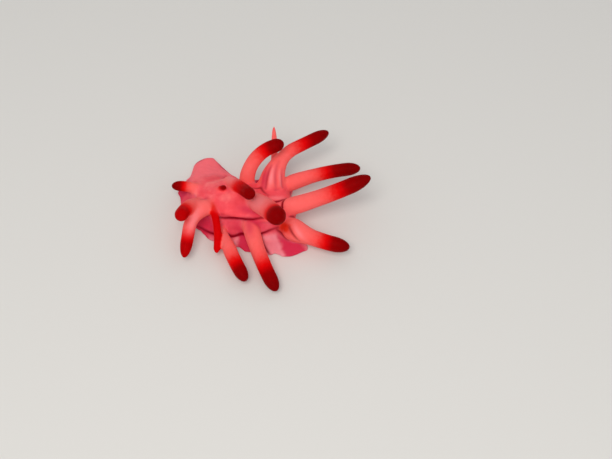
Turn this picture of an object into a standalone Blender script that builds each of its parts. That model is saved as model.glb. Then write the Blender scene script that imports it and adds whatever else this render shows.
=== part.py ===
"""Phyllodesmium nudibranch: a still, life-size museum model of a pink sea slug.

Metres, +Z up.  The slug lies on z = 0 and faces +X; its left side is +Y.  The origin is on the flat
sole, under the middle of the foot.  The body is one curved form, parted into tail, foot, two lengths of
back and the head.  Each finger-like process (two oral tentacles, two rhinophores and the cerata) is a
piece of its own that meets the body face to face.
"""

import bpy
import bmesh
import numpy as np

mm = 0.001

# Driving dimensions in millimetres
bodyLength = 29.5
touchGap = 0.3              # what touching pieces keep between them
sunkRoot = 1.6              # how far a process starts inside the body, with a rounded end
frontMiddle = (9.8, 1.4)    # the foremost point of the midline, seen from above

# Midline, seen from above: its heading in degrees from +X, at distances from the tip of the tail
headingAt = (0.0, 3.5, 6.5, 9.5, 13.5, 19.0, 25.0, bodyLength)
heading = (-112, -93, -75, -56, -31, -3, 11, 20)

# Half widths of the foot and the height of the back, at distances from the tip of the tail
sizeAt = (0.0, 1.0, 3.0, 5.4, 6.7, 9.5, 14.0, 19.0, 24.0, 27.6, 28.9, bodyLength)
rightHalf = (0.0, 1.9, 2.9, 3.0, 4.6, 6.1, 7.4, 8.3, 9.2, 9.9, 9.2, 0.0)
leftHalf = (0.0, 2.5, 5.0, 6.8, 7.1, 7.5, 8.0, 9.1, 9.3, 8.8, 7.4, 0.0)
backHeight = (0.5, 1.0, 1.5, 2.2, 2.7, 4.0, 5.5, 6.2, 6.2, 5.6, 4.2, 0.7)

# Half of a cross section from the middle of the back to the edge of the foot: the share of the half
# width, the share of the height.  The back ends in a thick edge over a hollow flank, and a groove
# parts the flank from the spreading skirt of the foot.
profileAcross = (0.0, 0.16, 0.33, 0.45, 0.505, 0.495, 0.54, 0.63, 0.69, 0.78, 0.90, 1.0, 0.985)
profileUp = (1.0, 0.98, 0.91, 0.81, 0.74, 0.68, 0.58, 0.38, 0.26, 0.21, 0.15, 0.07, 0.0)
ridgeRow = 4                # the row of the profile that is the edge of the back
lobeAcross = (0.0, 0.1, 0.2, 0.3, 0.4, 0.5, 0.6, 0.7, 0.8, 0.9, 0.96, 1.0, 0.985)
lobeUp = (1.0, 0.99, 0.97, 0.94, 0.89, 0.82, 0.73, 0.61, 0.48, 0.34, 0.21, 0.07, 0.0)
lobeFade = (5.0, 10.0)      # the tail is a plain low lobe up to the first distance from its tip
soleRows = 7                # strips across the flat sole

pleatSpacing = 2.7          # folds of the skirt, along the body
pleatDepth = 0.32
cornerReach = 1.9           # how far the front corners of the foot stand forward
lipSwell = 0.35             # the lips round the mouth
mouthHeight = 2.3
mouthSize = (1.0, 3.0, 0.55)

# Parting cuts
tailEnd = 7.4               # distance from the tip of the tail
clearRun = 1.3              # the first length of the foot past the tail has no ring
soleThickness = 1.5         # height of the cut between the foot and the back
rearCut = 15.0              # distance from the tip of the tail to the cut between the two backs
headCut = 23.6              # and to the cut behind the head

bodyRings = 84
processSides = 12
processRings = 16

# Each process: where it leaves the body, its heading and rise in degrees there and at its tip, its
# length and radius, how much wider its root is, the share of its length in which it bends, and the
# length of its rounded tip in radii.
processes = {
    "rhinophore_left": dict(root=(4.6, 4.3, 4.4), leaves=(87, 55), ends=(43, 0), long=17.6,
                            thick=1.35, flare=1.0, bend=0.55, tip=2.4),
    "rhinophore_right": dict(root=(8.8, -0.6, 4.8), leaves=(9, 24), ends=(29, 18), long=17.5,
                             thick=1.65, flare=0.1, bend=1.0, tip=2.6),
    "oral_tentacle_left": dict(root=(8.2, 6.2, 4.0), leaves=(19, 22), ends=(2, 14), long=14.5,
                               thick=1.4, flare=0.15, bend=1.0, tip=2.0),
    "oral_tentacle_right": dict(root=(10.3, -4.2, 3.0), leaves=(-23, 1), ends=(-3, 2), long=12.2,
                                thick=1.6, flare=0.4, bend=1.0, tip=2.0),
    "ceras_shoulder": dict(root=(2.0, -0.4, 5.2), leaves=(-49, 37), ends=(-55, 29), long=14.2,
                           thick=1.95, flare=-0.1, bend=1.0, tip=1.1),
    "ceras_right_front": dict(root=(2.3, -5.0, 3.2), leaves=(-67, -3), ends=(-52, -7), long=15.4,
                              thick=1.5, flare=0.1, bend=1.0, tip=2.0),
    "ceras_right_middle": dict(root=(-2.9, -6.4, 1.9), leaves=(-66, 13), ends=(-49, -10), long=13.0,
                               thick=1.4, flare=-0.45, bend=1.0, tip=1.8),
    "ceras_right_low": dict(root=(-6.4, -1.7, 4.2), leaves=(-56, 4), ends=(-87, -28), long=11.1,
                            thick=0.77, flare=0.1, bend=1.0, tip=1.6),
    "ceras_right_rear": dict(root=(-7.2, -3.0, 4.2), leaves=(-129, 14), ends=(-87, -15), long=12.0,
                             thick=1.3, flare=0.3, bend=0.5, tip=2.6),
    "ceras_rear_raised": dict(root=(-9.0, -1.8, 3.8), leaves=(-106, 42), ends=(-89, 24), long=10.0,
                              thick=1.4, flare=-0.2, bend=1.0, tip=1.2),
    "ceras_rear_left": dict(root=(-9.9, 2.2, 3.1), leaves=(188, 26), ends=(204, 8), long=5.4,
                            thick=1.1, flare=0.1, bend=1.0, tip=1.6),
    "ceras_young": dict(root=(-6.0, 1.4, 4.6), leaves=(-18, 46), ends=(-26, 42), long=3.6,
                        thick=0.6, flare=0.1, bend=1.0, tip=1.6),
    "ceras_crest": dict(root=(-4.0, 4.1, 4.4), leaves=(-49, 39), ends=(-50, 25), long=12.5,
                        thick=1.3, flare=-0.1, bend=1.0, tip=1.4),
    "ceras_left_arch": dict(root=(-0.4, 4.6, 4.2), leaves=(63, 87), ends=(11, 4), long=12.9,
                            thick=1.45, flare=0.1, bend=1.0, tip=1.2),
    "ceras_left_slim": dict(root=(4.7, 6.3, 2.3), leaves=(98, 22), ends=(102, 58), long=12.2,
                            thick=0.72, flare=0.2, bend=1.0, tip=8.0),
}

flesh = (0.90, 0.16, 0.17)
footPink = (0.72, 0.13, 0.24)
tentacleRed = (0.78, 0.04, 0.05)


def smooth(at, stations, values):
    """Cubic through the named values that never overshoots them."""
    x, y = np.array(stations, float), np.array(values, float)
    gap, rise = np.diff(x), np.diff(y) / np.diff(x)
    slope = np.concatenate([rise[:1], np.zeros(len(x) - 2), rise[-1:]])
    same = rise[:-1] * rise[1:] > 0
    slope[1:-1][same] = 2 * (rise[:-1] * rise[1:])[same] / (rise[:-1] + rise[1:])[same]
    i = np.clip(np.searchsorted(x, at, side="right") - 1, 0, len(gap) - 1)
    t = (at - x[i]) / gap[i]
    start = (1 + 2 * t) * (1 - t) ** 2 * y[i] + t * (1 - t) ** 2 * gap[i] * slope[i]
    end = t * t * (3 - 2 * t) * y[i + 1] + t * t * (t - 1) * gap[i] * slope[i + 1]
    return start + end


def ramp(value, low, high):
    """Smooth step from 0 at low to 1 at high."""
    t = np.clip((value - low) / (high - low), 0, 1)
    return t * t * (3 - 2 * t)


def midline(s):
    """Points, forward directions and curvature of the midline, seen from above, at distances s."""
    fine = np.linspace(0, bodyLength, 601)
    turn = np.radians(smooth(fine, headingAt, heading))
    step = fine[1]
    x = np.concatenate([[0], np.cumsum(np.cos(turn[1:]) + np.cos(turn[:-1]))]) * step / 2
    y = np.concatenate([[0], np.cumsum(np.sin(turn[1:]) + np.sin(turn[:-1]))]) * step / 2
    x += frontMiddle[0] - x[-1]
    y += frontMiddle[1] - y[-1]
    at = np.interp(s, fine, turn)
    point = np.stack([np.interp(s, fine, x), np.interp(s, fine, y)], -1)
    bend = np.interp(s, fine, np.gradient(turn, step))
    return point, np.stack([np.cos(at), np.sin(at)], -1), bend


def surface(s, side, across, up, row):
    """Points of the body's surface; side is -1 for the right and 1 for the left."""
    point, forward, bend = midline(s)
    left = np.stack([-forward[:, 1], forward[:, 0]], -1)
    half = np.where(side < 0, smooth(s, sizeAt, rightHalf), smooth(s, sizeAt, leftHalf))
    room = 1 - side * half * bend
    skirt = ramp(row, ridgeRow + 2, 11) * ramp(half, 2, 5) * ramp(room, 0.35, 0.9)
    fold = np.cos(2 * np.pi * s / pleatSpacing + 0.8 * np.sin(s))
    lateral = side * (across * half + pleatDepth * skirt * fold)
    height = up * smooth(s, sizeAt, backHeight)
    reach = cornerReach * ramp(np.abs(lateral), 3, 8.5) * ramp(s, 25.5, 29) * ramp(row, 5, 9)
    lips = lipSwell * np.exp(-((lateral / 1.9) ** 2)) * np.exp(-(((height - mouthHeight) / 1.0) ** 2))
    ahead = reach + lips * ramp(s, 27, 29)
    plan = point + left * lateral[:, None] + forward * ahead[:, None]
    return np.column_stack([plan, height])


def crossSection(s):
    """One closed ring of surface points at distance s, from the right sole round over the back."""
    rows = len(profileAcross)
    row = np.concatenate([np.arange(rows - 1, 0, -1), np.arange(rows)]).astype(float)
    side = np.concatenate([-np.ones(rows - 1), np.ones(rows)])
    formed = ramp(s, *lobeFade)
    across = (formed * np.array(profileAcross) + (1 - formed) * np.array(lobeAcross))[row.astype(int)]
    up = (formed * np.array(profileUp) + (1 - formed) * np.array(lobeUp))[row.astype(int)]
    inner = np.linspace(1, -1, soleRows + 1)[1:-1]
    row = np.concatenate([row, np.full(len(inner), rows - 1)])
    side = np.concatenate([side, np.where(inner < 0, -1.0, 1.0)])
    across = np.concatenate([across, profileAcross[-1] * np.abs(inner)])
    up = np.concatenate([up, np.zeros(len(inner))])
    return surface(np.full(len(row), s), side, across, up, row)


def bodyMesh(start, stop, startGap=0.0):
    """The body between two distances; each end is a flat section, or a point at the body's own ends."""
    rings = max(4, round(bodyRings * (stop - start) / bodyLength))
    share = np.linspace(0, 1, rings + 1)
    if stop == bodyLength:
        share = share - 0.09 * np.sin(2 * np.pi * share) * share
    stations = start + (stop - start) * share
    if startGap:
        stations = np.concatenate([stations[:1], stations[stations > start + clearRun]])
    form = bmesh.new()
    loops = []
    for i, s in enumerate(stations):
        points = crossSection(s)
        if startGap and i == 0:
            points[:, :2] += midline(np.array([s]))[1] * startGap
        if s in (0.0, bodyLength):
            loops.append([form.verts.new(points.mean(axis=0) * mm)])
        else:
            loops.append([form.verts.new(p * mm) for p in points])
    for before, after in zip(loops, loops[1:]):
        count = max(len(before), len(after))
        for k in range(count):
            corners = [before[k % len(before)], before[(k + 1) % len(before)],
                       after[(k + 1) % len(after)], after[k % len(after)]]
            form.faces.new(list(dict.fromkeys(corners)))
    for loop in (loops[0], loops[-1]):
        if len(loop) > 1:
            form.faces.new(loop)
    form.normal_update()
    bmesh.ops.recalc_face_normals(form, faces=form.faces)
    bmesh.ops.triangulate(form, faces=form.faces)
    return form


def keepSide(form, point, outward):
    """Cut a closed form with a plane, drop what lies beyond it and close the cut with a flat face."""
    everything = form.verts[:] + form.edges[:] + form.faces[:]
    bmesh.ops.bisect_plane(form, geom=everything, dist=1e-7, plane_co=point, plane_no=outward,
                           clear_outer=True)
    rim = [edge for edge in form.edges if edge.is_boundary]
    bmesh.ops.edgenet_fill(form, edges=rim)
    bmesh.ops.triangulate(form, faces=form.faces)
    bmesh.ops.recalc_face_normals(form, faces=form.faces)


def lengthPlane(s):
    """A point and the forward direction of the upright plane across the body at distance s."""
    point, forward, _ = midline(np.array([s]))
    return np.array([*point[0], 0]) * mm, np.array([*forward[0], 0])


def makeObject(name, form, colour, roughness=0.35):
    mesh = bpy.data.meshes.new(name)
    form.to_mesh(mesh)
    form.free()
    body = bpy.data.objects.new(name, mesh)
    bpy.context.scene.collection.objects.link(body)
    material = bpy.data.materials.new(name)
    material.use_nodes = True
    finish = material.node_tree.nodes["Principled BSDF"]
    finish.inputs["Base Color"].default_value = (*colour, 1)
    finish.inputs["Roughness"].default_value = roughness
    finish.inputs["Metallic"].default_value = 0
    mesh.materials.append(material)
    mesh.shade_smooth()
    mesh.set_sharp_from_angle(angle=np.radians(50))
    return body


def makeCutter(name, form):
    cutter = makeObject(name, form, flesh)
    cutter.hide_render = True
    cutter.display_type = "WIRE"
    return cutter


def cutAway(body, cutter):
    """Take the cutter out of the body and keep the largest closed surface."""
    cut = body.modifiers.new("fit", "BOOLEAN")
    cut.operation = "DIFFERENCE"
    cut.solver = "EXACT"
    cut.object = cutter
    bpy.context.view_layer.update()
    evaluated = body.evaluated_get(bpy.context.evaluated_depsgraph_get())
    form = bmesh.new()
    form.from_mesh(evaluated.to_mesh())
    body.modifiers.remove(cut)
    keepLargest(form)
    bmesh.ops.triangulate(form, faces=form.faces)
    form.to_mesh(body.data)
    form.free()


def keepLargest(form):
    """Drop every loose piece but the one with the most faces."""
    left = set(form.verts)
    pieces = []
    while left:
        piece, edge = set(), [left.pop()]
        while edge:
            vert = edge.pop()
            piece.add(vert)
            fresh = [e.other_vert(vert) for e in vert.link_edges]
            fresh = [v for v in fresh if v in left]
            left.difference_update(fresh)
            edge.extend(fresh)
        pieces.append(piece)
    pieces.sort(key=len)
    for piece in pieces[:-1]:
        bmesh.ops.delete(form, geom=list(piece), context="VERTS")


def centreline(spec, share):
    """Points and directions along a process at shares of its length; below 0 is inside the body."""
    fine = np.linspace(0, 1, 121)
    bent = np.clip(fine / spec["bend"], 0, 1)[:, None]
    angle = np.radians((1 - bent) * np.array(spec["leaves"]) + bent * np.array(spec["ends"]))
    flat = np.cos(angle[:, 1])
    way = np.stack([flat * np.cos(angle[:, 0]), flat * np.sin(angle[:, 0]), np.sin(angle[:, 1])], -1)
    steps = (way[1:] + way[:-1]) / 2 * spec["long"] * fine[1]
    path = np.array(spec["root"]) + np.concatenate([np.zeros((1, 3)), np.cumsum(steps, axis=0)])
    point = np.stack([np.interp(share, fine, path[:, k]) for k in range(3)], -1)
    point += np.minimum(share, 0)[:, None] * spec["long"] * way[0]
    direction = np.stack([np.interp(share, fine, way[:, k]) for k in range(3)], -1)
    return point, direction / np.linalg.norm(direction, axis=1)[:, None]


def processRadius(spec, share):
    """Radius along a process: a rounded sunk end, a flared root, an even shaft and a rounded tip."""
    root = 1 + spec["flare"] * (1 - ramp(share, 0.0, 0.42))
    taper = 1 - 0.08 * np.clip(share, 0, 1)
    tipLength = spec["tip"] * spec["thick"]
    fromTip = np.clip((1 - share) * spec["long"] / tipLength, 0, 1)
    sunk = np.clip(-share * spec["long"] / sunkRoot, 0, 1)
    return spec["thick"] * root * taper * np.sqrt((1 - (1 - fromTip) ** 2) * (1 - sunk ** 2))


def processMesh(spec):
    """A closed form along the centreline, from inside the body out to the tip."""
    form = bmesh.new()
    bmesh.ops.create_uvsphere(form, u_segments=processSides, v_segments=processRings, radius=1)
    ball = np.array([v.co[:] for v in form.verts])
    turn = np.arctan2(ball[:, 1], ball[:, 0])
    order = (1 - ball[:, 2]) / 2
    first = -sunkRoot / spec["long"]
    share = first + (1 - first) * order
    point, way = centreline(spec, share)
    sideways = np.cross(way, [0, 0, 1.0])
    sideways /= np.linalg.norm(sideways, axis=1)[:, None]
    upward = np.cross(sideways, way)
    radius = processRadius(spec, share) * (np.hypot(ball[:, 0], ball[:, 1]) > 1e-6)
    offset = sideways * np.cos(turn)[:, None] + upward * np.sin(turn)[:, None]
    for vert, place in zip(form.verts, point + offset * radius[:, None]):
        vert.co = place * mm
    form.normal_update()
    bmesh.ops.recalc_face_normals(form, faces=form.faces)
    bmesh.ops.triangulate(form, faces=form.faces)
    return form


def makeTail():
    makeObject("tail", bodyMesh(0.0, tailEnd), footPink)


def makeFoot():
    form = bodyMesh(tailEnd, bodyLength, touchGap)
    keepSide(form, (0, 0, (soleThickness - touchGap / 2) * mm), (0, 0, 1))
    makeObject("foot", form, footPink)


def makeBacks():
    """The body above the foot, in three lengths."""
    half = touchGap / 2 * mm
    spans = {"back_rear": (None, rearCut), "back_front": (rearCut, headCut), "head": (headCut, None)}
    for name, (start, stop) in spans.items():
        form = bodyMesh(tailEnd, bodyLength, touchGap)
        keepSide(form, (0, 0, (soleThickness + touchGap / 2) * mm), (0, 0, -1))
        if start:
            point, forward = lengthPlane(start)
            keepSide(form, point + forward * half, -forward)
        if stop:
            point, forward = lengthPlane(stop)
            keepSide(form, point - forward * half, forward)
        makeObject(name, form, flesh)


def makeMouth():
    """The slit of the mouth, low in the front of the head between the oral tentacles."""
    point, forward, _ = midline(np.array([bodyLength - 0.1]))
    form = bmesh.new()
    bmesh.ops.create_uvsphere(form, u_segments=12, v_segments=8, radius=0.5)
    bmesh.ops.scale(form, vec=np.array(mouthSize) * mm, verts=form.verts)
    turn = np.arctan2(forward[0, 1], forward[0, 0])
    for vert in form.verts:
        x, y, z = vert.co
        vert.co = (x * np.cos(turn) - y * np.sin(turn) + point[0, 0] * mm,
                   x * np.sin(turn) + y * np.cos(turn) + point[0, 1] * mm, z + mouthHeight * mm)
    cutter = makeCutter("mouth_cutter", form)
    cutAway(bpy.data.objects["head"], cutter)
    bpy.data.objects.remove(cutter)


def crowded(spec, other):
    """Whether two processes come closer than the touching gap, their sunk roots included."""
    share = np.linspace(-sunkRoot / 12, 1, 60)
    here, there = centreline(spec, share)[0], centreline(other, share)[0]
    apart = np.linalg.norm(here[:, None] - there[None], axis=2)
    room = processRadius(spec, share)[:, None] + processRadius(other, share)[None]
    return np.min(apart - room) < touchGap


def swell(form):
    """Push a closed form out by the touching gap."""
    form.normal_update()
    for vert, outward in [(v, v.normal.copy()) for v in form.verts]:
        vert.co += outward * touchGap * mm
    return form


def makeProcesses():
    """Every process, cut to meet the body and the processes before it with the touching gap."""
    swollenBody = makeCutter("swollen_body", swell(bodyMesh(0.0, bodyLength)))
    made = []
    for name, spec in processes.items():
        colour = flesh if name.startswith("ceras") else tentacleRed
        process = makeObject(name, processMesh(spec), colour)
        cutAway(process, swollenBody)
        for other in made:
            if crowded(spec, other):
                swollen = makeCutter("swollen_process", swell(processMesh(other)))
                cutAway(process, swollen)
                bpy.data.objects.remove(swollen)
        made.append(spec)
    bpy.data.objects.remove(swollenBody)


for leftover in list(bpy.data.objects):
    bpy.data.objects.remove(leftover)
makeTail()
makeFoot()
makeBacks()
makeMouth()
makeProcesses()
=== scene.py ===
import bpy
import bmesh
import numpy as np
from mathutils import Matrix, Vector, noise
from mathutils.kdtree import KDTree


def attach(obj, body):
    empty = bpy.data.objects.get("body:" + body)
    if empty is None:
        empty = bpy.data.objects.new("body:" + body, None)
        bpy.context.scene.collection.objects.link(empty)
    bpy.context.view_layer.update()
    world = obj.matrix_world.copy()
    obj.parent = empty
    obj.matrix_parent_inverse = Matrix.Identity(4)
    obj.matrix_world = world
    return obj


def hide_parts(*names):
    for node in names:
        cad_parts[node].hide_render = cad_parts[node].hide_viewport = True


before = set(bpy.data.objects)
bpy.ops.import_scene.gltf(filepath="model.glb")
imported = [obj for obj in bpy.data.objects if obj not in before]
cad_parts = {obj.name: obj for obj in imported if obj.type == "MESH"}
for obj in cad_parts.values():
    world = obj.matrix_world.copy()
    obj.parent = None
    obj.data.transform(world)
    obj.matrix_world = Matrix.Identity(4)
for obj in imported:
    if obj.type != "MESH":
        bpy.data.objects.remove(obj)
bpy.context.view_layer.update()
mm = 0.001                       # shapes are worked out in millimetres and scaled at the end

# the curved body: its midline seen from above, its widths, its height and its cross section
body = {
    "length": 29.5,
    "frontMiddle": (9.8, 1.4),
    "headingAt": (0.0, 3.5, 6.5, 9.5, 13.5, 19.0, 25.0, 29.5),
    "heading": (-112, -93, -75, -56, -31, -3, 11, 20),
    "sizeAt": (0.0, 1.0, 3.0, 5.4, 6.7, 9.5, 14.0, 19.0, 24.0, 27.6, 28.9, 29.5),
    "rightHalf": (0.0, 1.9, 2.9, 3.0, 4.6, 6.1, 7.4, 8.3, 9.2, 9.9, 9.2, 0.0),
    "leftHalf": (0.0, 2.5, 5.0, 6.8, 7.1, 7.5, 8.0, 9.1, 9.3, 8.8, 7.4, 0.0),
    "backHeight": (0.5, 1.0, 1.5, 2.2, 2.7, 4.0, 5.5, 6.2, 6.2, 5.6, 4.2, 0.7),
    "profileAcross": (0.0, 0.16, 0.33, 0.45, 0.505, 0.495, 0.54, 0.63, 0.69, 0.78, 0.90, 1.0, 0.985),
    "profileUp": (1.0, 0.98, 0.91, 0.81, 0.74, 0.68, 0.58, 0.38, 0.26, 0.21, 0.15, 0.07, 0.0),
    "lobeAcross": (0.0, 0.1, 0.2, 0.3, 0.4, 0.5, 0.6, 0.7, 0.8, 0.9, 0.96, 1.0, 0.985),
    "lobeUp": (1.0, 0.99, 0.97, 0.94, 0.89, 0.82, 0.73, 0.61, 0.48, 0.34, 0.21, 0.07, 0.0),
    "lobeFade": (5.0, 10.0),     # the tail is a plain low lobe up to the first distance from its tip
    "soleShare": 0.2,            # share of the way round that is the flat sole
    "around": 400,
    "along": 280,
    "pleatSpacing": 2.7,
    "pleatDepth": 0.32,
    "finePleatSpacing": 0.95,
    "finePleatDepth": 0.07,
    "pleatRows": (6, 11),        # the pleats grow between these rows, half widths and shares of room
    "pleatHalves": (2, 5),
    "pleatRoom": (0.35, 0.9),
    "cornerReach": 1.9,          # how far the front corners reach on, and where they begin and are full
    "cornerAcross": (3, 8.5),
    "cornerAlong": (25.5, 29),
    "cornerRows": (5, 9),
    "lipSwell": 0.35,
    "lipWidth": 1.9,
    "lipHeight": 1.0,
    "lipAlong": (27, 29),
    "mouthHeight": 2.3,
}

# the finger-like processes: root, heading and rise at the root and at the tip, length and radius,
# flare of the root, share that bends, length of the rounded tip in radii, shares where the red begins
# and where it is deep, and how dark the tip becomes
processes = {
    "rhinophoreLeft": dict(root=(4.6, 4.3, 4.4), leaves=(87, 55), ends=(43, 0), long=17.6, thick=1.35,
                           flare=1.0, bend=0.55, tip=2.4, red=0.62, deep=0.79, darkest=1.0),
    "rhinophoreRight": dict(root=(8.8, -0.6, 4.8), leaves=(9, 24), ends=(29, 18), long=17.5, thick=1.65,
                            flare=0.1, bend=1.0, tip=2.6, red=0.60, deep=0.77, darkest=1.0),
    "oralTentacleLeft": dict(root=(8.2, 6.2, 4.0), leaves=(19, 22), ends=(2, 14), long=14.5, thick=1.4,
                             flare=0.15, bend=1.0, tip=2.0, red=0.52, deep=0.69, darkest=1.0),
    "oralTentacleRight": dict(root=(10.3, -4.2, 3.0), leaves=(-23, 1), ends=(-3, 2), long=12.2, thick=1.6,
                              flare=0.4, bend=1.0, tip=2.0, red=0.60, deep=0.77, darkest=1.0),
    "cerasShoulder": dict(root=(2.0, -0.4, 5.2), leaves=(-49, 37), ends=(-55, 29), long=14.2, thick=1.95,
                          flare=-0.1, bend=1.0, tip=1.1, red=0.79, deep=0.86, darkest=1.0),
    "cerasRightFront": dict(root=(2.3, -5.0, 3.2), leaves=(-67, -3), ends=(-52, -7), long=15.4, thick=1.5,
                            flare=0.1, bend=1.0, tip=2.0, red=0.63, deep=0.80, darkest=1.0),
    "cerasRightMiddle": dict(root=(-2.9, -6.4, 1.9), leaves=(-66, 13), ends=(-49, -10), long=13.0, thick=1.4,
                             flare=-0.45, bend=1.0, tip=1.8, red=0.66, deep=0.83, darkest=1.0),
    "cerasRightLow": dict(root=(-6.4, -1.7, 4.2), leaves=(-56, 4), ends=(-87, -28), long=11.1, thick=0.77,
                          flare=0.1, bend=1.0, tip=1.6, red=0.15, deep=0.95, darkest=0.6),
    "cerasRightRear": dict(root=(-7.2, -3.0, 4.2), leaves=(-129, 14), ends=(-87, -15), long=12.0, thick=1.3,
                           flare=0.3, bend=0.5, tip=2.6, red=0.66, deep=0.86, darkest=0.7),
    "cerasRearRaised": dict(root=(-9.0, -1.8, 3.8), leaves=(-106, 42), ends=(-89, 24), long=10.0, thick=1.4,
                            flare=-0.2, bend=1.0, tip=1.2, red=0.66, deep=0.86, darkest=0.68),
    "cerasRearLeft": dict(root=(-9.9, 2.2, 3.1), leaves=(188, 26), ends=(204, 8), long=5.4, thick=1.1,
                          flare=0.1, bend=1.0, tip=1.6, red=0.55, deep=0.75, darkest=0.9),
    "cerasYoung": dict(root=(-6.0, 1.4, 4.6), leaves=(-18, 46), ends=(-26, 42), long=3.6, thick=0.6,
                       flare=0.1, bend=1.0, tip=1.6, red=0.55, deep=0.80, darkest=0.9),
    "cerasCrest": dict(root=(-4.0, 4.1, 4.4), leaves=(-49, 39), ends=(-50, 25), long=12.5, thick=1.3,
                       flare=-0.1, bend=1.0, tip=1.4, red=0.50, deep=0.84, darkest=1.0),
    "cerasLeftArch": dict(root=(-0.4, 4.6, 4.2), leaves=(63, 87), ends=(11, 4), long=12.9, thick=1.45,
                          flare=0.1, bend=1.0, tip=1.2, red=0.67, deep=0.82, darkest=1.0),
    "cerasLeftSlim": dict(root=(4.7, 6.3, 2.3), leaves=(98, 22), ends=(102, 58), long=12.2, thick=0.72,
                          flare=0.2, bend=1.0, tip=8.0, red=1.3, deep=1.5, darkest=0.5),
}
processMesh = {"sides": 48, "rings": 110, "sunkRoot": 1.6, "flareEnds": 0.42, "taper": 0.08}


def smooth(at, stations, values):
    # a smooth curve through the stations that never swings past their values
    x, y = np.array(stations, float), np.array(values, float)
    gap, rise = np.diff(x), np.diff(y) / np.diff(x)
    slope = np.concatenate([rise[:1], np.zeros(len(x) - 2), rise[-1:]])
    same = rise[:-1] * rise[1:] > 0
    slope[1:-1][same] = 2 * (rise[:-1] * rise[1:])[same] / (rise[:-1] + rise[1:])[same]
    i = np.clip(np.searchsorted(x, at, side="right") - 1, 0, len(gap) - 1)
    t = (at - x[i]) / gap[i]
    start = (1 + 2 * t) * (1 - t) ** 2 * y[i] + t * (1 - t) ** 2 * gap[i] * slope[i]
    end = t * t * (3 - 2 * t) * y[i + 1] + t * t * (t - 1) * gap[i] * slope[i + 1]
    return start + end


def ramp(value, low, high):
    t = np.clip((value - low) / (high - low), 0, 1)
    return t * t * (3 - 2 * t)


def bump(value, centre, width):
    return np.exp(-(((value - centre) / width) ** 2))


def midline(s):
    fine = np.linspace(0, body["length"], 601)
    turn = np.radians(smooth(fine, body["headingAt"], body["heading"]))
    step = fine[1]
    x = np.concatenate([[0], np.cumsum(np.cos(turn[1:]) + np.cos(turn[:-1]))]) * step / 2
    y = np.concatenate([[0], np.cumsum(np.sin(turn[1:]) + np.sin(turn[:-1]))]) * step / 2
    x += body["frontMiddle"][0] - x[-1]
    y += body["frontMiddle"][1] - y[-1]
    at = np.interp(s, fine, turn)
    point = np.stack([np.interp(s, fine, x), np.interp(s, fine, y)], -1)
    bend = np.interp(s, fine, np.gradient(turn, step))
    return point, np.stack([np.cos(at), np.sin(at)], -1), bend


def pleatWave(s, spacing):
    return np.cos(2 * np.pi * s / spacing + 0.8 * np.sin(s))


def bodyPoints(s, side, row, soleIn=0.0):
    # row 0 is the middle of the back and the last one the edge of the sole; soleIn runs inwards from there
    rows = np.arange(len(body["profileAcross"]))
    formed = ramp(s, *body["lobeFade"])
    across = formed * smooth(row, rows, body["profileAcross"])
    across = across + (1 - formed) * smooth(row, rows, body["lobeAcross"])
    up = formed * smooth(row, rows, body["profileUp"]) + (1 - formed) * smooth(row, rows, body["lobeUp"])
    across = across * (1 - soleIn)
    point, forward, bend = midline(s)
    left = np.stack([-forward[:, 1], forward[:, 0]], -1)
    half = np.where(side < 0, smooth(s, body["sizeAt"], body["rightHalf"]),
                    smooth(s, body["sizeAt"], body["leftHalf"]))
    room = 1 - side * half * bend
    pleated = ramp(row, *body["pleatRows"]) * ramp(half, *body["pleatHalves"])
    pleated = pleated * ramp(room, *body["pleatRoom"])
    fold = body["pleatDepth"] * pleatWave(s, body["pleatSpacing"])
    fold = fold + body["finePleatDepth"] * pleatWave(s + 0.3 * np.sin(1.7 * s), body["finePleatSpacing"])
    lateral = side * (across * half + pleated * fold * (1 - soleIn))
    height = up * smooth(s, body["sizeAt"], body["backHeight"])
    reach = body["cornerReach"] * ramp(np.abs(lateral), *body["cornerAcross"])
    reach = reach * ramp(s, *body["cornerAlong"]) * ramp(row, *body["cornerRows"])
    lips = body["lipSwell"] * bump(lateral, 0, body["lipWidth"])
    lips = lips * bump(height, body["mouthHeight"], body["lipHeight"])
    plan = point + left * lateral[:, None] + forward * (reach + lips * ramp(s, *body["lipAlong"]))[:, None]
    return np.column_stack([plan, height])


def makeBody(form):
    # a grid wrapped round the body; its two sides meet under the middle of the sole
    bmesh.ops.create_grid(form, x_segments=body["around"], y_segments=body["along"], size=1)
    form.verts.ensure_lookup_table()
    sheet = np.array([v.co[:2] for v in form.verts])
    side = np.where(sheet[:, 0] < 0, -1.0, 1.0)
    wayRound = np.abs(sheet[:, 0])
    backShare = 1 - body["soleShare"]
    row = (len(body["profileAcross"]) - 1) * np.clip(wayRound / backShare, 0, 1)
    soleIn = np.clip((wayRound - backShare) / body["soleShare"], 0, 1)
    s = body["length"] * (1 - np.cos(np.pi * (np.clip(sheet[:, 1], -1, 1) + 1) / 2)) / 2
    for vert, place in zip(form.verts, bodyPoints(s, side, row, soleIn)):
        vert.co = place
    places = np.array([v.co[:] for v in form.verts])
    rim = [v for v in form.verts if v.is_boundary]
    bmesh.ops.remove_doubles(form, verts=rim, dist=1e-4)
    return s, side, row, places


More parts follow.
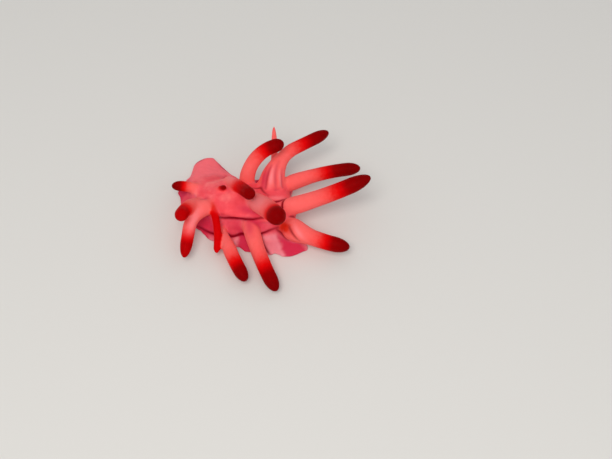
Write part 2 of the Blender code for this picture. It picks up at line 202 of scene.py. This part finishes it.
def centreline(spec, share):
    fine = np.linspace(0, 1, 121)
    bent = np.clip(fine / spec["bend"], 0, 1)[:, None]
    angle = np.radians((1 - bent) * np.array(spec["leaves"]) + bent * np.array(spec["ends"]))
    flat = np.cos(angle[:, 1])
    way = np.stack([flat * np.cos(angle[:, 0]), flat * np.sin(angle[:, 0]), np.sin(angle[:, 1])], -1)
    steps = (way[1:] + way[:-1]) / 2 * spec["long"] * fine[1]
    path = np.array(spec["root"]) + np.concatenate([np.zeros((1, 3)), np.cumsum(steps, axis=0)])
    point = np.stack([np.interp(share, fine, path[:, k]) for k in range(3)], -1)
    point += np.minimum(share, 0)[:, None] * spec["long"] * way[0]
    direction = np.stack([np.interp(share, fine, way[:, k]) for k in range(3)], -1)
    return point, direction / np.linalg.norm(direction, axis=1)[:, None]


def acrossWay(way):
    sideways = np.cross(way, [0, 0, 1.0])
    sideways /= np.linalg.norm(sideways, axis=1)[:, None]
    return sideways, np.cross(sideways, way)


def processRadius(spec, share):
    root = 1 + spec["flare"] * (1 - ramp(share, 0.0, processMesh["flareEnds"]))
    taper = 1 - processMesh["taper"] * np.clip(share, 0, 1)
    fromTip = np.clip((1 - share) * spec["long"] / (spec["tip"] * spec["thick"]), 0, 1)
    sunk = np.clip(-share * spec["long"] / processMesh["sunkRoot"], 0, 1)
    return spec["thick"] * root * taper * np.sqrt((1 - (1 - fromTip) ** 2) * (1 - sunk ** 2))


def makeProcess(form, spec):
    bmesh.ops.create_uvsphere(form, u_segments=processMesh["sides"],
                              v_segments=processMesh["rings"], radius=1)
    ball = np.array([v.co[:] for v in form.verts])
    turn = np.arctan2(ball[:, 1], ball[:, 0])
    order = np.clip((1 - ball[:, 2]) / 2, 0, 1)
    first = -processMesh["sunkRoot"] / spec["long"]
    share = first + (1 - first) * order
    point, way = centreline(spec, share)
    sideways, upward = acrossWay(way)
    radius = processRadius(spec, share) * (np.hypot(ball[:, 0], ball[:, 1]) > 1e-6)
    offset = sideways * np.cos(turn)[:, None] + upward * np.sin(turn)[:, None]
    for vert, place in zip(form.verts, point + offset * radius[:, None]):
        vert.co = place


def addForm(whole, form):
    form.normal_update()
    bmesh.ops.recalc_face_normals(form, faces=form.faces)
    mesh = bpy.data.meshes.new("form")
    form.to_mesh(mesh)
    form.free()
    whole.from_mesh(mesh)
    bpy.data.meshes.remove(mesh)


def readVectors(items, name):
    flat = np.empty(len(items) * 3)
    items.foreach_get(name, flat)
    return flat.reshape(-1, 3)


def setPlaces(mesh, places):
    mesh.vertices.foreach_set("co", places.ravel())
    mesh.update()


def relax(values, ends, weight, passes):
    # each value moves towards the mean of its neighbours, by its weight
    count = np.bincount(ends.ravel(), minlength=len(values)).astype(float)
    flat = values.reshape(len(values), -1).copy()
    share = np.broadcast_to(weight, (len(values),))
    for _ in range(passes):
        for k in range(flat.shape[1]):
            near = np.bincount(ends[:, 0], flat[ends[:, 1], k], len(flat))
            near += np.bincount(ends[:, 1], flat[ends[:, 0], k], len(flat))
            flat[:, k] += share * (near / count - flat[:, k])
    return flat.reshape(values.shape)


skinMesh = {
    "voxel": 0.185,
    "evenPasses": 3,
    "evenPull": 0.5,
    "filletPasses": 34,
    "filletPull": 0.6,
    "filletFrom": 0.2,
    "filletReach": 1.5,
    "fullReachAt": 1.3,          # a process as thick as this has the full fillet
    "leastReach": 0.3,
    "processFrom": (-0.4, 1.1),  # where the paint turns from the body's to the process's
    "lookWithin": 4,             # a process is measured within this distance and counts as far off beyond it
    "farOff": 9.0,
}

# the body and the processes as closed forms, made into one skin
whole = bmesh.new()
bodyOnly = bmesh.new()
bodyS, bodySide, bodyRow, bodyPlaces = makeBody(bodyOnly)
addForm(whole, bodyOnly)
for spec in processes.values():
    finger = bmesh.new()
    makeProcess(finger, spec)
    addForm(whole, finger)
rawMesh = bpy.data.meshes.new("rawShape")
whole.to_mesh(rawMesh)
whole.free()
print("forms made:", len(rawMesh.vertices), "points")

raw = bpy.data.objects.new("rawShape", rawMesh)
bpy.context.scene.collection.objects.link(raw)
merge = raw.modifiers.new("merge", "REMESH")
merge.mode = "VOXEL"
merge.voxel_size = skinMesh["voxel"]
merge.use_smooth_shade = True
bpy.context.view_layer.update()
merged = raw.evaluated_get(bpy.context.evaluated_depsgraph_get())
skinData = bpy.data.meshes.new_from_object(merged)
bpy.data.objects.remove(raw)
bpy.data.meshes.remove(rawMesh)
skinData.name = "skin"
places = readVectors(skinData.vertices, "co")
ends = np.empty(len(skinData.edges) * 2, dtype=np.int32)
skinData.edges.foreach_get("vertices", ends)
ends = ends.reshape(-1, 2)
print("one skin:", len(places), "points,", sum(len(p.vertices) - 2 for p in skinData.polygons), "triangles")

# how far each point of the skin is from the body and from each process
bodyTree = KDTree(len(bodyPlaces))
for index, place in enumerate(bodyPlaces):
    bodyTree.insert(place, index)
bodyTree.balance()
nearest = [bodyTree.find(place) for place in places]
nearIndex = np.array([found[1] for found in nearest])
gaps = [np.array([found[2] for found in nearest])]
ripes = [np.zeros(len(places))]
for spec in processes.values():
    share = np.linspace(-0.05, 1, 90)
    point, way = centreline(spec, share)
    radius = processRadius(spec, share)
    gap = np.full(len(places), skinMesh["farOff"])
    along = np.zeros(len(places))
    low, high = point.min(0) - skinMesh["lookWithin"], point.max(0) + skinMesh["lookWithin"]
    close = np.where(np.all((places > low) & (places < high), axis=1))[0]
    apart = np.linalg.norm(places[close][:, None] - point[None], axis=2) - radius[None]
    best = np.argmin(apart, axis=1)
    gap[close] = apart[np.arange(len(close)), best]
    onward = np.einsum("ij,ij->i", places[close] - point[best], way[best]) / spec["long"]
    along[close] = share[best] + np.clip(onward, -0.02, 0.02)
    gaps.append(gap)
    ripeAt = (-0.8, spec["red"] - 0.3, spec["red"], spec["deep"], spec["deep"] + 0.4)
    ripe = smooth(np.clip(along, -0.1, 1), ripeAt, (0.0, 0.2, 0.5, 0.8, 1.0))
    ripes.append(np.minimum(ripe, spec["darkest"]))
gaps, ripes = np.array(gaps), np.array(ripes)
owner = np.argmin(gaps, axis=0)
onProcess = ramp(gaps[0] - gaps[1:].min(axis=0), *skinMesh["processFrom"])
secondGap = np.sort(gaps, axis=0)[1]
ripe = ripes[owner, np.arange(len(places))] * (owner > 0)

# soft roots: the skin relaxes where a process meets the body or another process, less far on thin ones
reachShare = np.array([spec["thick"] for spec in processes.values()]) / skinMesh["fullReachAt"]
reachShare = np.clip(reachShare, skinMesh["leastReach"], 1)[np.argmin(gaps[1:], axis=0)]
fillet = 1 - ramp(secondGap / reachShare, skinMesh["filletFrom"], skinMesh["filletReach"])
places = relax(places, ends, skinMesh["evenPull"], skinMesh["evenPasses"])
places = relax(places, ends, skinMesh["filletPull"] * fillet, skinMesh["filletPasses"])
setPlaces(skinData, places)
print("roots softened")

s, side, row = bodyS[nearIndex], bodySide[nearIndex], bodyRow[nearIndex]
onBody = 1 - onProcess

# lines and patches on the skin: how wide, how deep they are pressed in, and the paint they take. The crease
# paint is painted shade in folds and grooves, the violet paint is painted shade, the pale paint is mostly
# painted highlight and the orange paint is partly a painted red reflection. Their points are a side with
# distances along the body and rows of the cross section, or a process with shares of its length and angles
# round it, or places across the face with heights.
marks = {
    # the crease paint on the folds, grooves, pleats and mouth below is painted shade; the skirt fold and the
    # cheek line are painted shadow lines beside processes
    "notalEdge": dict(side=-1, at=((15.6, 6.4), (17.0, 6.1), (18.2, 5.6), (19.6, 5.0), (21.0, 4.0),
                                   (22.6, 3.3), (24.0, 2.8)), wide=0.25, deep=0.30, creaseShade=1.0),
    "skirtGroove": dict(side=-1, at=((13.6, 10.5), (15.0, 10.2), (16.2, 9.6), (18.0, 9.2), (19.4, 8.6),
                                     (21.0, 7.6), (23.2, 7.2), (24.6, 6.6), (26.0, 6.1)),
                        wide=0.28, deep=0.32, creaseShade=1.0),
    "cheekFold": dict(side=-1, at=((25.6, 6.3), (26.6, 6.8), (27.4, 7.5)), wide=0.24, deep=0.2, creaseShade=0.7),
    "skirtFold": dict(side=-1, at=((23.3, 7.4), (23.3, 8.3), (23.8, 9.7), (24.3, 10.3), (24.8, 10.9)),
                      wide=0.26, deep=0.24, creaseShade=0.8),
    "farFold": dict(side=1, at=((21.0, 1.7), (21.9, 1.7), (22.7, 1.75), (23.3, 1.2), (24.3, 0.5)),
                    wide=0.24, deep=0.2, creaseShade=0.65),
    "browFold": dict(side=-1, at=((24.9, 0.9), (25.3, 0.75), (26.0, 0.5), (26.9, 0.4), (27.9, 0.3)),
                     wide=0.22, deep=0.18, creaseShade=0.9),
    "cheekLine": dict(side=-1, at=((28.0, 2.45), (28.5, 2.35), (29.1, 2.1)), wide=0.2, deep=0.16, creaseShade=0.6),
    "cheekCorner": dict(side=-1, at=((28.0, 0.25), (27.75, 0.6), (27.4, 1.0), (27.1, 1.4), (26.5, 1.7)),
                        wide=0.24, deep=0.22, creaseShade=1.0),
    "farGroove": dict(side=1, at=((12.0, 9.0), (15.0, 8.8), (18.0, 8.6), (21.0, 8.6), (24.0, 8.8),
                                  (27.0, 9.0)), wide=0.30, deep=0.22, creaseShade=0.7),
    # the violet on the cone's pleats is painted shade in the pleat valleys
    "conePleatLeft": dict(on="rhinophoreLeft", at=((-0.02, 103), (0.06, 102), (0.13, 104), (0.22, 106)),
                          wide=0.34, deep=0.24, creaseShade=0.25, violetShade=0.9),
    "conePleatRight": dict(on="rhinophoreLeft", at=((0.0, 54), (0.08, 58), (0.18, 66), (0.28, 76)),
                           wide=0.42, deep=0.2, creaseShade=0.12, violetShade=0.5),
    "conePleatFar": dict(on="rhinophoreLeft", at=((0.0, 16), (0.10, 20), (0.22, 28)),
                         wide=0.40, deep=0.2, creaseShade=0.15, violetShade=0.5),
    "tentacleFold": dict(on="oralTentacleRight", at=((0.0, 66), (0.06, 48), (0.14, 24), (0.22, 0)),
                         wide=0.26, deep=0.2, creaseShade=0.6),
    "mouth": dict(face=((-1.2, 2.3), (-0.5, 2.25), (0.5, 2.25), (1.2, 2.3)),
                  wide=0.24, deep=0.55, creaseShade=0.8),
    "upperLip": dict(face=((-1.5, 2.7), (-0.6, 2.8), (0.6, 2.8), (1.5, 2.7)),
                     wide=0.45, deep=-0.25, paleAndHighlight=0.3),
    "lowerLip": dict(face=((-1.4, 1.8), (-0.5, 1.7), (0.5, 1.7), (1.4, 1.8)),
                     wide=0.45, deep=-0.25, paleAndHighlight=0.3),
    "lipPleatLeft": dict(face=((0.5, 2.4), (0.6, 2.75), (0.65, 3.0)), wide=0.18, deep=0.2, creaseShade=0.15),
    "lipPleatMiddle": dict(face=((0.0, 2.4), (0.0, 2.75), (0.0, 3.0)), wide=0.18, deep=0.2, creaseShade=0.15),
    "lipPleatRight": dict(face=((-0.5, 2.4), (-0.6, 2.75), (-0.65, 3.0)), wide=0.18, deep=0.2, creaseShade=0.15),
    "footGroove": dict(face=((-6.5, 0.75), (-3.0, 0.8), (0.0, 0.8), (3.0, 0.8), (6.5, 0.75)),
                       wide=0.28, deep=0.3, creaseShade=0.5),
    # painted shade under the shoulder ceras's shaft and along the flank
    "shoulderShade": dict(side=-1, at=((19.4, 1.9), (21.3, 2.1), (23.5, 2.5)), wide=0.9, violetShade=0.75),
    "flankShade": dict(side=-1, at=((20.8, 5.2), (21.9, 5.9), (23.2, 6.4)), wide=0.9, violetShade=0.95),
    # painted red reflection from the shoulder ceras's red cap, on the cheek and at the right oral tentacle's
    # root
    "orangePatch": dict(side=-1, at=((26.6, 5.0), (27.1, 5.6), (27.5, 6.4)), wide=0.9, orange=1.6),
    "orangeRoot": dict(on="oralTentacleRight", at=((-0.12, 52), (-0.03, 46), (0.03, 40)),
                       wide=0.9, orange=1.6),
    # painted shade in the hollow beside the low right ceras
    "rearHollowShade": dict(side=-1, at=((13.6, 3.6), (14.2, 5.6), (14.9, 7.3), (15.9, 9.2), (16.5, 10.3)),
                       wide=0.75, violetShade=1.0),
    "lowRootBlush": dict(side=-1, at=((14.6, 2.4), (15.0, 3.0), (15.2, 4.0), (15.5, 6.0)),
                         wide=0.6, orange=0.7),
    # painted shade at the front right ceras's root
    "frontRootShade": dict(on="cerasRightFront", at=((-0.08, 78), (0.06, 76), (0.2, 66)),
                           wide=0.9, violetShade=0.7),
    "rearPale": dict(on="cerasRightRear", at=((0.2, 118), (0.4, 120), (0.58, 108)), wide=0.9, paleAndHighlight=0.8),
    # painted shade on the cone's side and at its root
    "coneShade": dict(on="rhinophoreLeft", at=((-0.02, 116), (0.08, 118), (0.18, 122)), wide=0.7, violetShade=0.9),
    "coneRootShade": dict(on="rhinophoreLeft", at=((0.02, 64), (-0.03, 60)), wide=0.9, violetShade=0.6),
    # painted highlights: pale streaks on the cone's pleat ridges, on the shoulder ceras's shaft, along the
    # top of the crest ceras's shaft, along the right oral tentacle and along the top of the back behind the
    # head
    "coneHighlight": dict(on="rhinophoreLeft", at=((0.04, 82), (0.12, 84), (0.22, 92)), wide=0.55, paleAndHighlight=0.9),
    "coneHighlightFar": dict(on="rhinophoreLeft", at=((0.03, 24), (0.12, 32), (0.2, 40)), wide=0.4, paleAndHighlight=0.8),
    "shoulderHighlight": dict(on="cerasShoulder", at=((0.02, 44), (0.3, 50), (0.64, 56)), wide=1.8, paleAndHighlight=0.65),
    "crestHighlight": dict(on="cerasCrest", at=((0.02, 80), (0.2, 80), (0.4, 80)), wide=1.0, paleAndHighlight=0.45),
    "tentacleHighlight": dict(on="oralTentacleRight", at=((0.07, 82), (0.17, 56), (0.3, 24)), wide=0.4, paleAndHighlight=0.7),
    "browHighlight": dict(side=-1, at=((24.3, 0.2), (25.9, 0.0), (27.5, 0.0)), wide=0.5, paleAndHighlight=0.6),
}

# how far marks may rise and sink, how often their lines are evened on the skin, how they fade at their
# ends and how strongly the painted shade in the creases is laid on
markLaying = {"highest": -0.3, "deepest": 0.6, "passes": 12, "endShare": 0.04, "endFade": 0.4,
              "creaseShadeGain": 1.3}

# soft lumps all over the body, none of them at the floor
lumps = {"coarse": 0.55, "fine": 1.3, "fineShare": 0.5, "height": 0.12, "above": (0.3, 1.5)}


def markLine(spec):
    turns = np.array(spec["face"] if "face" in spec else spec["at"], float)
    fine = np.linspace(0, len(turns) - 1, 12 * len(turns))
    first = smooth(fine, np.arange(len(turns)), turns[:, 0])
    second = smooth(fine, np.arange(len(turns)), turns[:, 1])
    if "face" in spec:
        point, forward, _ = midline(np.full(len(fine), body["length"]))
        left = np.stack([-forward[:, 1], forward[:, 0]], -1)
        return np.column_stack([point + left * first[:, None], second])
    if "side" in spec:
        return bodyPoints(first, np.full(len(first), float(spec["side"])), second)
    process = processes[spec["on"]]
    point, way = centreline(process, first)
    angle = np.radians(second)[:, None]
    sideways, upward = acrossWay(way)
    radius = processRadius(process, first)[:, None]
    return point + radius * (sideways * np.cos(angle) + upward * np.sin(angle))


def layOnSkin(line):
    laid = np.array([skinTree.find(place)[0][:] for place in line])
    for _ in range(markLaying["passes"]):
        laid[1:-1] += 0.5 * ((laid[:-2] + laid[2:]) / 2 - laid[1:-1])
    return laid


# the marks are laid on the skin, pressed in along its own normals and kept as masks for the paint, much of
# which is painted shade and painted highlight
normals = readVectors(skinData.vertex_normals, "vector")
skinTree = KDTree(len(places))
for index, place in enumerate(places):
    skinTree.insert(place, index)
skinTree.balance()
# masks for painted shade in creases, violet painted shade, pale tone with painted highlights, and orange tone
# with a painted red reflection
paints = {name: np.zeros(len(places)) for name in ("creaseShade", "violetShade", "paleAndHighlight", "orange")}
press = np.zeros(len(places))
for spec in marks.values():
    line = layOnSkin(markLine(spec))
    reach = 3 * spec["wide"]
    close = np.where(np.all((places > line.min(0) - reach) & (places < line.max(0) + reach), axis=1))[0]
    apart = np.linalg.norm(places[close][:, None] - line[None], axis=2)
    best = np.argmin(apart, axis=1)
    distance = apart[np.arange(len(close)), best]
    onward = np.clip(best / (len(line) - 1), markLaying["endShare"], 1 - markLaying["endShare"])
    fade = np.sin(np.pi * onward) ** markLaying["endFade"]
    mark = bump(distance, 0, spec["wide"]) * fade
    if "on" in spec:
        mark = mark * (owner[close] == 1 + list(processes).index(spec["on"]))
    press[close] += spec.get("deep", 0) * mark
    for name, paint in paints.items():
        paint[close] = np.maximum(paint[close], np.minimum(spec.get(name, 0) * mark, 1))
lump = np.array([noise.noise(Vector(p * lumps["coarse"]))
                 + lumps["fineShare"] * noise.noise(Vector(p * lumps["fine"])) for p in places])
places = places - normals * np.clip(press, markLaying["highest"], markLaying["deepest"])[:, None]
raised = lumps["height"] * lump * ramp(places[:, 2], *lumps["above"]) * onBody
places = places + normals * raised[:, None]
places[:, 2] = np.maximum(places[:, 2], 0)
setPlaces(skinData, places * mm)
print("marks laid on the skin")


def keepMask(name, values, passes):
    mask = skinData.attributes.new(name, "FLOAT", "POINT")
    mask.data.foreach_set("value", relax(np.asarray(values, float), ends, 0.5, passes).astype(np.float32))


# violet bands of painted shade down the flank and the skirt: the place of one of them along the body at the
# row where they don't lean, their spacing, lean from row to row and wander, their soft edge and the rows
# where they begin
shadeBands = {"first": 21.05, "spacing": 6.4, "lean": -0.19, "evenRow": 10, "wander": 0.3,
         "edge": (0.15, 0.7), "rows": (5.0, 8.5)}

# where the flank's and the skirt's colours begin, by rows, and where the tail's ends along the body
colourZones = {"flank": (3.6, 5.2), "belowGroove": 1.1, "tail": (6, 10)}

# the pale skirt starts at its own side's groove
grooveRow = np.zeros(len(places))
for name in ("skirtGroove", "farGroove"):
    groove = np.array(marks[name]["at"])
    here = side == marks[name]["side"]
    grooveRow[here] = np.interp(s[here], groove[:, 0], groove[:, 1])
skirt = ramp(row, grooveRow, grooveRow + colourZones["belowGroove"]) * onBody
drift = shadeBands["lean"] * (row - shadeBands["evenRow"]) + shadeBands["wander"] * lump
shadeBand = ramp(np.cos(2 * np.pi * (s - shadeBands["first"]) / shadeBands["spacing"] + drift), *shadeBands["edge"])
paints["violetShade"] = np.maximum(paints["violetShade"], shadeBand * ramp(row, *shadeBands["rows"]) * onBody)
# the painted shade in the creases is strengthened
paints["creaseShade"] = np.clip(markLaying["creaseShadeGain"] * paints["creaseShade"], 0, 1)
keepMask("ripe", ripe, 4)
keepMask("process", onProcess, 2)
keepMask("skirt", skirt, 2)
keepMask("flank", ramp(row, *colourZones["flank"]) * onBody, 2)
keepMask("tail", (1 - ramp(s, *colourZones["tail"])) * onBody, 2)
for name, paint in paints.items():
    keepMask(name, paint, 0 if name == "creaseShade" else 2)


flesh = {
    "alongProcess": ((0.0, "FF7876"), (0.2, "F96864"), (0.34, "F2524E"), (0.46, "E4201E"), (0.53, "DC0608"),
                     (0.64, "C00004"), (0.76, "960002"), (0.9, "7A0002")),
    "back": ((0.3, "EA4852"), (0.5, "F4565F"), (0.7, "FF7C7C")),
    "flank": ((0.3, "D23C50"), (0.5, "E24C5C"), (0.7, "EE6470")),
    "skirt": ((0.3, "DC727E"), (0.5, "E6828C"), (0.7, "F0969E")),
    "tailColour": "FF6E76",
    # colours of the painted shade in creases, the violet painted shade, the pale tone with painted highlights
    # and the orange tone with a painted red reflection
    "paints": {"paleAndHighlight": "FF8C90", "violetShade": "CE304E", "orange": "E0301C", "creaseShade": "8C001A"},
    "coarseNoise": (260, 3),     # scale and detail
    "fineNoise": (1400, 4),
    "grainNoise": (5200, 2),
    "noiseRoughness": 0.55,
    "wobble": 0.12,              # how far the fine noise moves the colours along a process
    "grainShare": 0.4,
    "relief": {"Strength": 0.25, "Distance": 0.0001},
    "wetness": {
        "Roughness": 0.5,
        "Specular IOR Level": 0.03,
        "Specular Tint": (1.0, 0.5, 0.5, 1.0),
        "Subsurface Weight": 0.35,
        "Subsurface Radius": (1.0, 0.28, 0.22),
        "Subsurface Scale": 0.0012,
    },
}


def tint(code):
    channels = np.array([int(code[i:i + 2], 16) for i in (0, 2, 4)]) / 255
    linear = np.where(channels > 0.04045, ((channels + 0.055) / 1.055) ** 2.4, channels / 12.92)
    return (*linear.tolist(), 1.0)


def addNode(tree, kind, **values):
    node = tree.nodes.new("ShaderNode" + kind)
    for name, value in values.items():
        setattr(node, name, value)
    return node


def maskNode(tree, name):
    return addNode(tree, "Attribute", attribute_name=name).outputs["Fac"]


def mathNode(tree, operation, first, second):
    node = addNode(tree, "Math", operation=operation)
    for socket, value in zip(node.inputs, (first, second)):
        if isinstance(value, (int, float)):
            socket.default_value = value
        else:
            tree.links.new(value, socket)
    return node.outputs[0]


def mixColour(tree, share, first, second):
    node = addNode(tree, "Mix", data_type="RGBA")
    # the node's factor and its two colours; its other sockets are for numbers and vectors
    for socket, value in ((node.inputs[0], share), (node.inputs[6], first), (node.inputs[7], second)):
        if isinstance(value, (int, float, tuple)):
            socket.default_value = value
        else:
            tree.links.new(value, socket)
    return node.outputs[2]


def noiseNode(tree, scale, detail):
    node = addNode(tree, "TexNoise")
    node.inputs["Scale"].default_value = scale
    node.inputs["Detail"].default_value = detail
    node.inputs["Roughness"].default_value = flesh["noiseRoughness"]
    place = addNode(tree, "TexCoord")
    tree.links.new(place.outputs["Object"], node.inputs["Vector"])
    return node.outputs["Fac"]


def rampNode(tree, value, stops):
    node = addNode(tree, "ValToRGB")
    tree.links.new(value, node.inputs["Fac"])
    points = node.color_ramp.elements
    for _ in stops[2:]:
        points.new(0.5)
    for point, (place, _) in zip(points, stops):
        point.position = place
    for point, (_, code) in zip(points, stops):
        point.color = tint(code)
    return node.outputs["Color"]


def makeFlesh():
    material = bpy.data.materials.new("wetFlesh")
    material.use_nodes = True
    tree = material.node_tree
    shader = tree.nodes["Principled BSDF"]
    coarse = noiseNode(tree, *flesh["coarseNoise"])
    fine = noiseNode(tree, *flesh["fineNoise"])
    grain = noiseNode(tree, *flesh["grainNoise"])
    wobble = mathNode(tree, "MULTIPLY", mathNode(tree, "SUBTRACT", fine, 0.5), flesh["wobble"])
    ripeness = mathNode(tree, "ADD", maskNode(tree, "ripe"), wobble)
    processColour = rampNode(tree, ripeness, flesh["alongProcess"])
    back = rampNode(tree, coarse, flesh["back"])
    flank = rampNode(tree, coarse, flesh["flank"])
    skirt = rampNode(tree, coarse, flesh["skirt"])
    bodyColour = mixColour(tree, maskNode(tree, "flank"), back, flank)
    bodyColour = mixColour(tree, maskNode(tree, "skirt"), bodyColour, skirt)
    bodyColour = mixColour(tree, maskNode(tree, "tail"), bodyColour, tint(flesh["tailColour"]))
    colour = mixColour(tree, maskNode(tree, "process"), bodyColour, processColour)
    # the painted shade, painted highlights and painted reflection are mixed over the flesh colour
    for name, paint in flesh["paints"].items():
        colour = mixColour(tree, maskNode(tree, name), colour, tint(paint))
    tree.links.new(colour, shader.inputs["Base Color"])
    for name, value in flesh["wetness"].items():
        shader.inputs[name].default_value = value
    relief = addNode(tree, "Bump")
    for name, value in flesh["relief"].items():
        relief.inputs[name].default_value = value
    height = mathNode(tree, "ADD", fine, mathNode(tree, "MULTIPLY", grain, flesh["grainShare"]))
    tree.links.new(height, relief.inputs["Height"])
    tree.links.new(relief.outputs["Normal"], shader.inputs["Normal"])
    return material


skin = bpy.data.objects.new("skin", skinData)
bpy.context.scene.collection.objects.link(skin)
skinData.materials.clear()
skinData.materials.append(makeFlesh())
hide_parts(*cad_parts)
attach(skin, "root")
print("skin finished")

studio = {
    "floorHalf": 1.5,
    "floorBelow": 0.02,              # millimetres, so that the sole and the floor don't share a face
    "floorColour": "D9D6D0",
    "floorRoughness": 0.75,
    "worldColour": "E6E8EC",
    "worldStrength": 0.68,
    "lights": {
        "key": dict(place=(-0.01, -0.22, 0.37), size=0.22, power=0.87, colour=(1.0, 0.98, 0.95)),
        "fill": dict(place=(0.25, -0.30, 0.25), size=0.40, power=0.30, colour=(0.97, 0.98, 1.0)),
    },
}

floorForm = bmesh.new()
bmesh.ops.create_grid(floorForm, x_segments=1, y_segments=1, size=studio["floorHalf"])
bmesh.ops.translate(floorForm, vec=(0, 0, -studio["floorBelow"] * mm), verts=floorForm.verts)
floorMesh = bpy.data.meshes.new("floor")
floorForm.to_mesh(floorMesh)
floorForm.free()
floor = bpy.data.objects.new("floor", floorMesh)
bpy.context.scene.collection.objects.link(floor)
floorPaint = bpy.data.materials.new("paleFloor")
floorPaint.use_nodes = True
floorShader = floorPaint.node_tree.nodes["Principled BSDF"]
floorShader.inputs["Base Color"].default_value = tint(studio["floorColour"])
floorShader.inputs["Roughness"].default_value = studio["floorRoughness"]
floorMesh.materials.append(floorPaint)

world = bpy.data.worlds.new("studio")
world.use_nodes = True
sky = world.node_tree.nodes["Background"]
sky.inputs["Color"].default_value = tint(studio["worldColour"])
sky.inputs["Strength"].default_value = studio["worldStrength"]
bpy.context.scene.world = world
for name, spec in studio["lights"].items():
    data = bpy.data.lights.new(name, "AREA")
    data.shape = "DISK"
    data.size = spec["size"]
    data.energy = spec["power"]
    data.color = spec["colour"]
    light = bpy.data.objects.new(name, data)
    bpy.context.scene.collection.objects.link(light)
    light.location = spec["place"]
    light.rotation_euler = (-Vector(spec["place"])).to_track_quat("-Z", "Y").to_euler()
bpy.context.scene.view_settings.view_transform = "Standard"
print("floor and light placed")

view = {
    "azimuth": 10.0,
    "elevation": 53.0,
    "lens": 60.0,
    "sensor": 36.0,
    "distance": 204.0,
    "originAt": (245.0, 214.0),      # where the object's origin falls in the 612 by 459 picture
    "pictureMiddle": (306.0, 229.5),
    "perPixel": 0.2,
    "clip": (0.005, 10),             # metres
}
turn, lift = np.radians(view["azimuth"]), np.radians(view["elevation"])
back = np.array([np.sin(turn) * np.cos(lift), -np.cos(turn) * np.cos(lift), np.sin(lift)])
right = np.array([np.cos(turn), np.sin(turn), 0])
up = np.array([-np.sin(turn) * np.sin(lift), np.cos(turn) * np.sin(lift), np.cos(lift)])
aim = right * (view["pictureMiddle"][0] - view["originAt"][0]) * view["perPixel"]
aim = aim - up * (view["pictureMiddle"][1] - view["originAt"][1]) * view["perPixel"]
eye = bpy.data.cameras.new("camera")
eye.lens = view["lens"]
eye.sensor_width = view["sensor"]
eye.clip_start, eye.clip_end = view["clip"]
camera = bpy.data.objects.new("camera", eye)
bpy.context.scene.collection.objects.link(camera)
camera.location = (aim + back * view["distance"]) * mm
camera.rotation_euler = Vector(-back).to_track_quat("-Z", "Y").to_euler()
bpy.context.scene.camera = camera
print("camera placed")
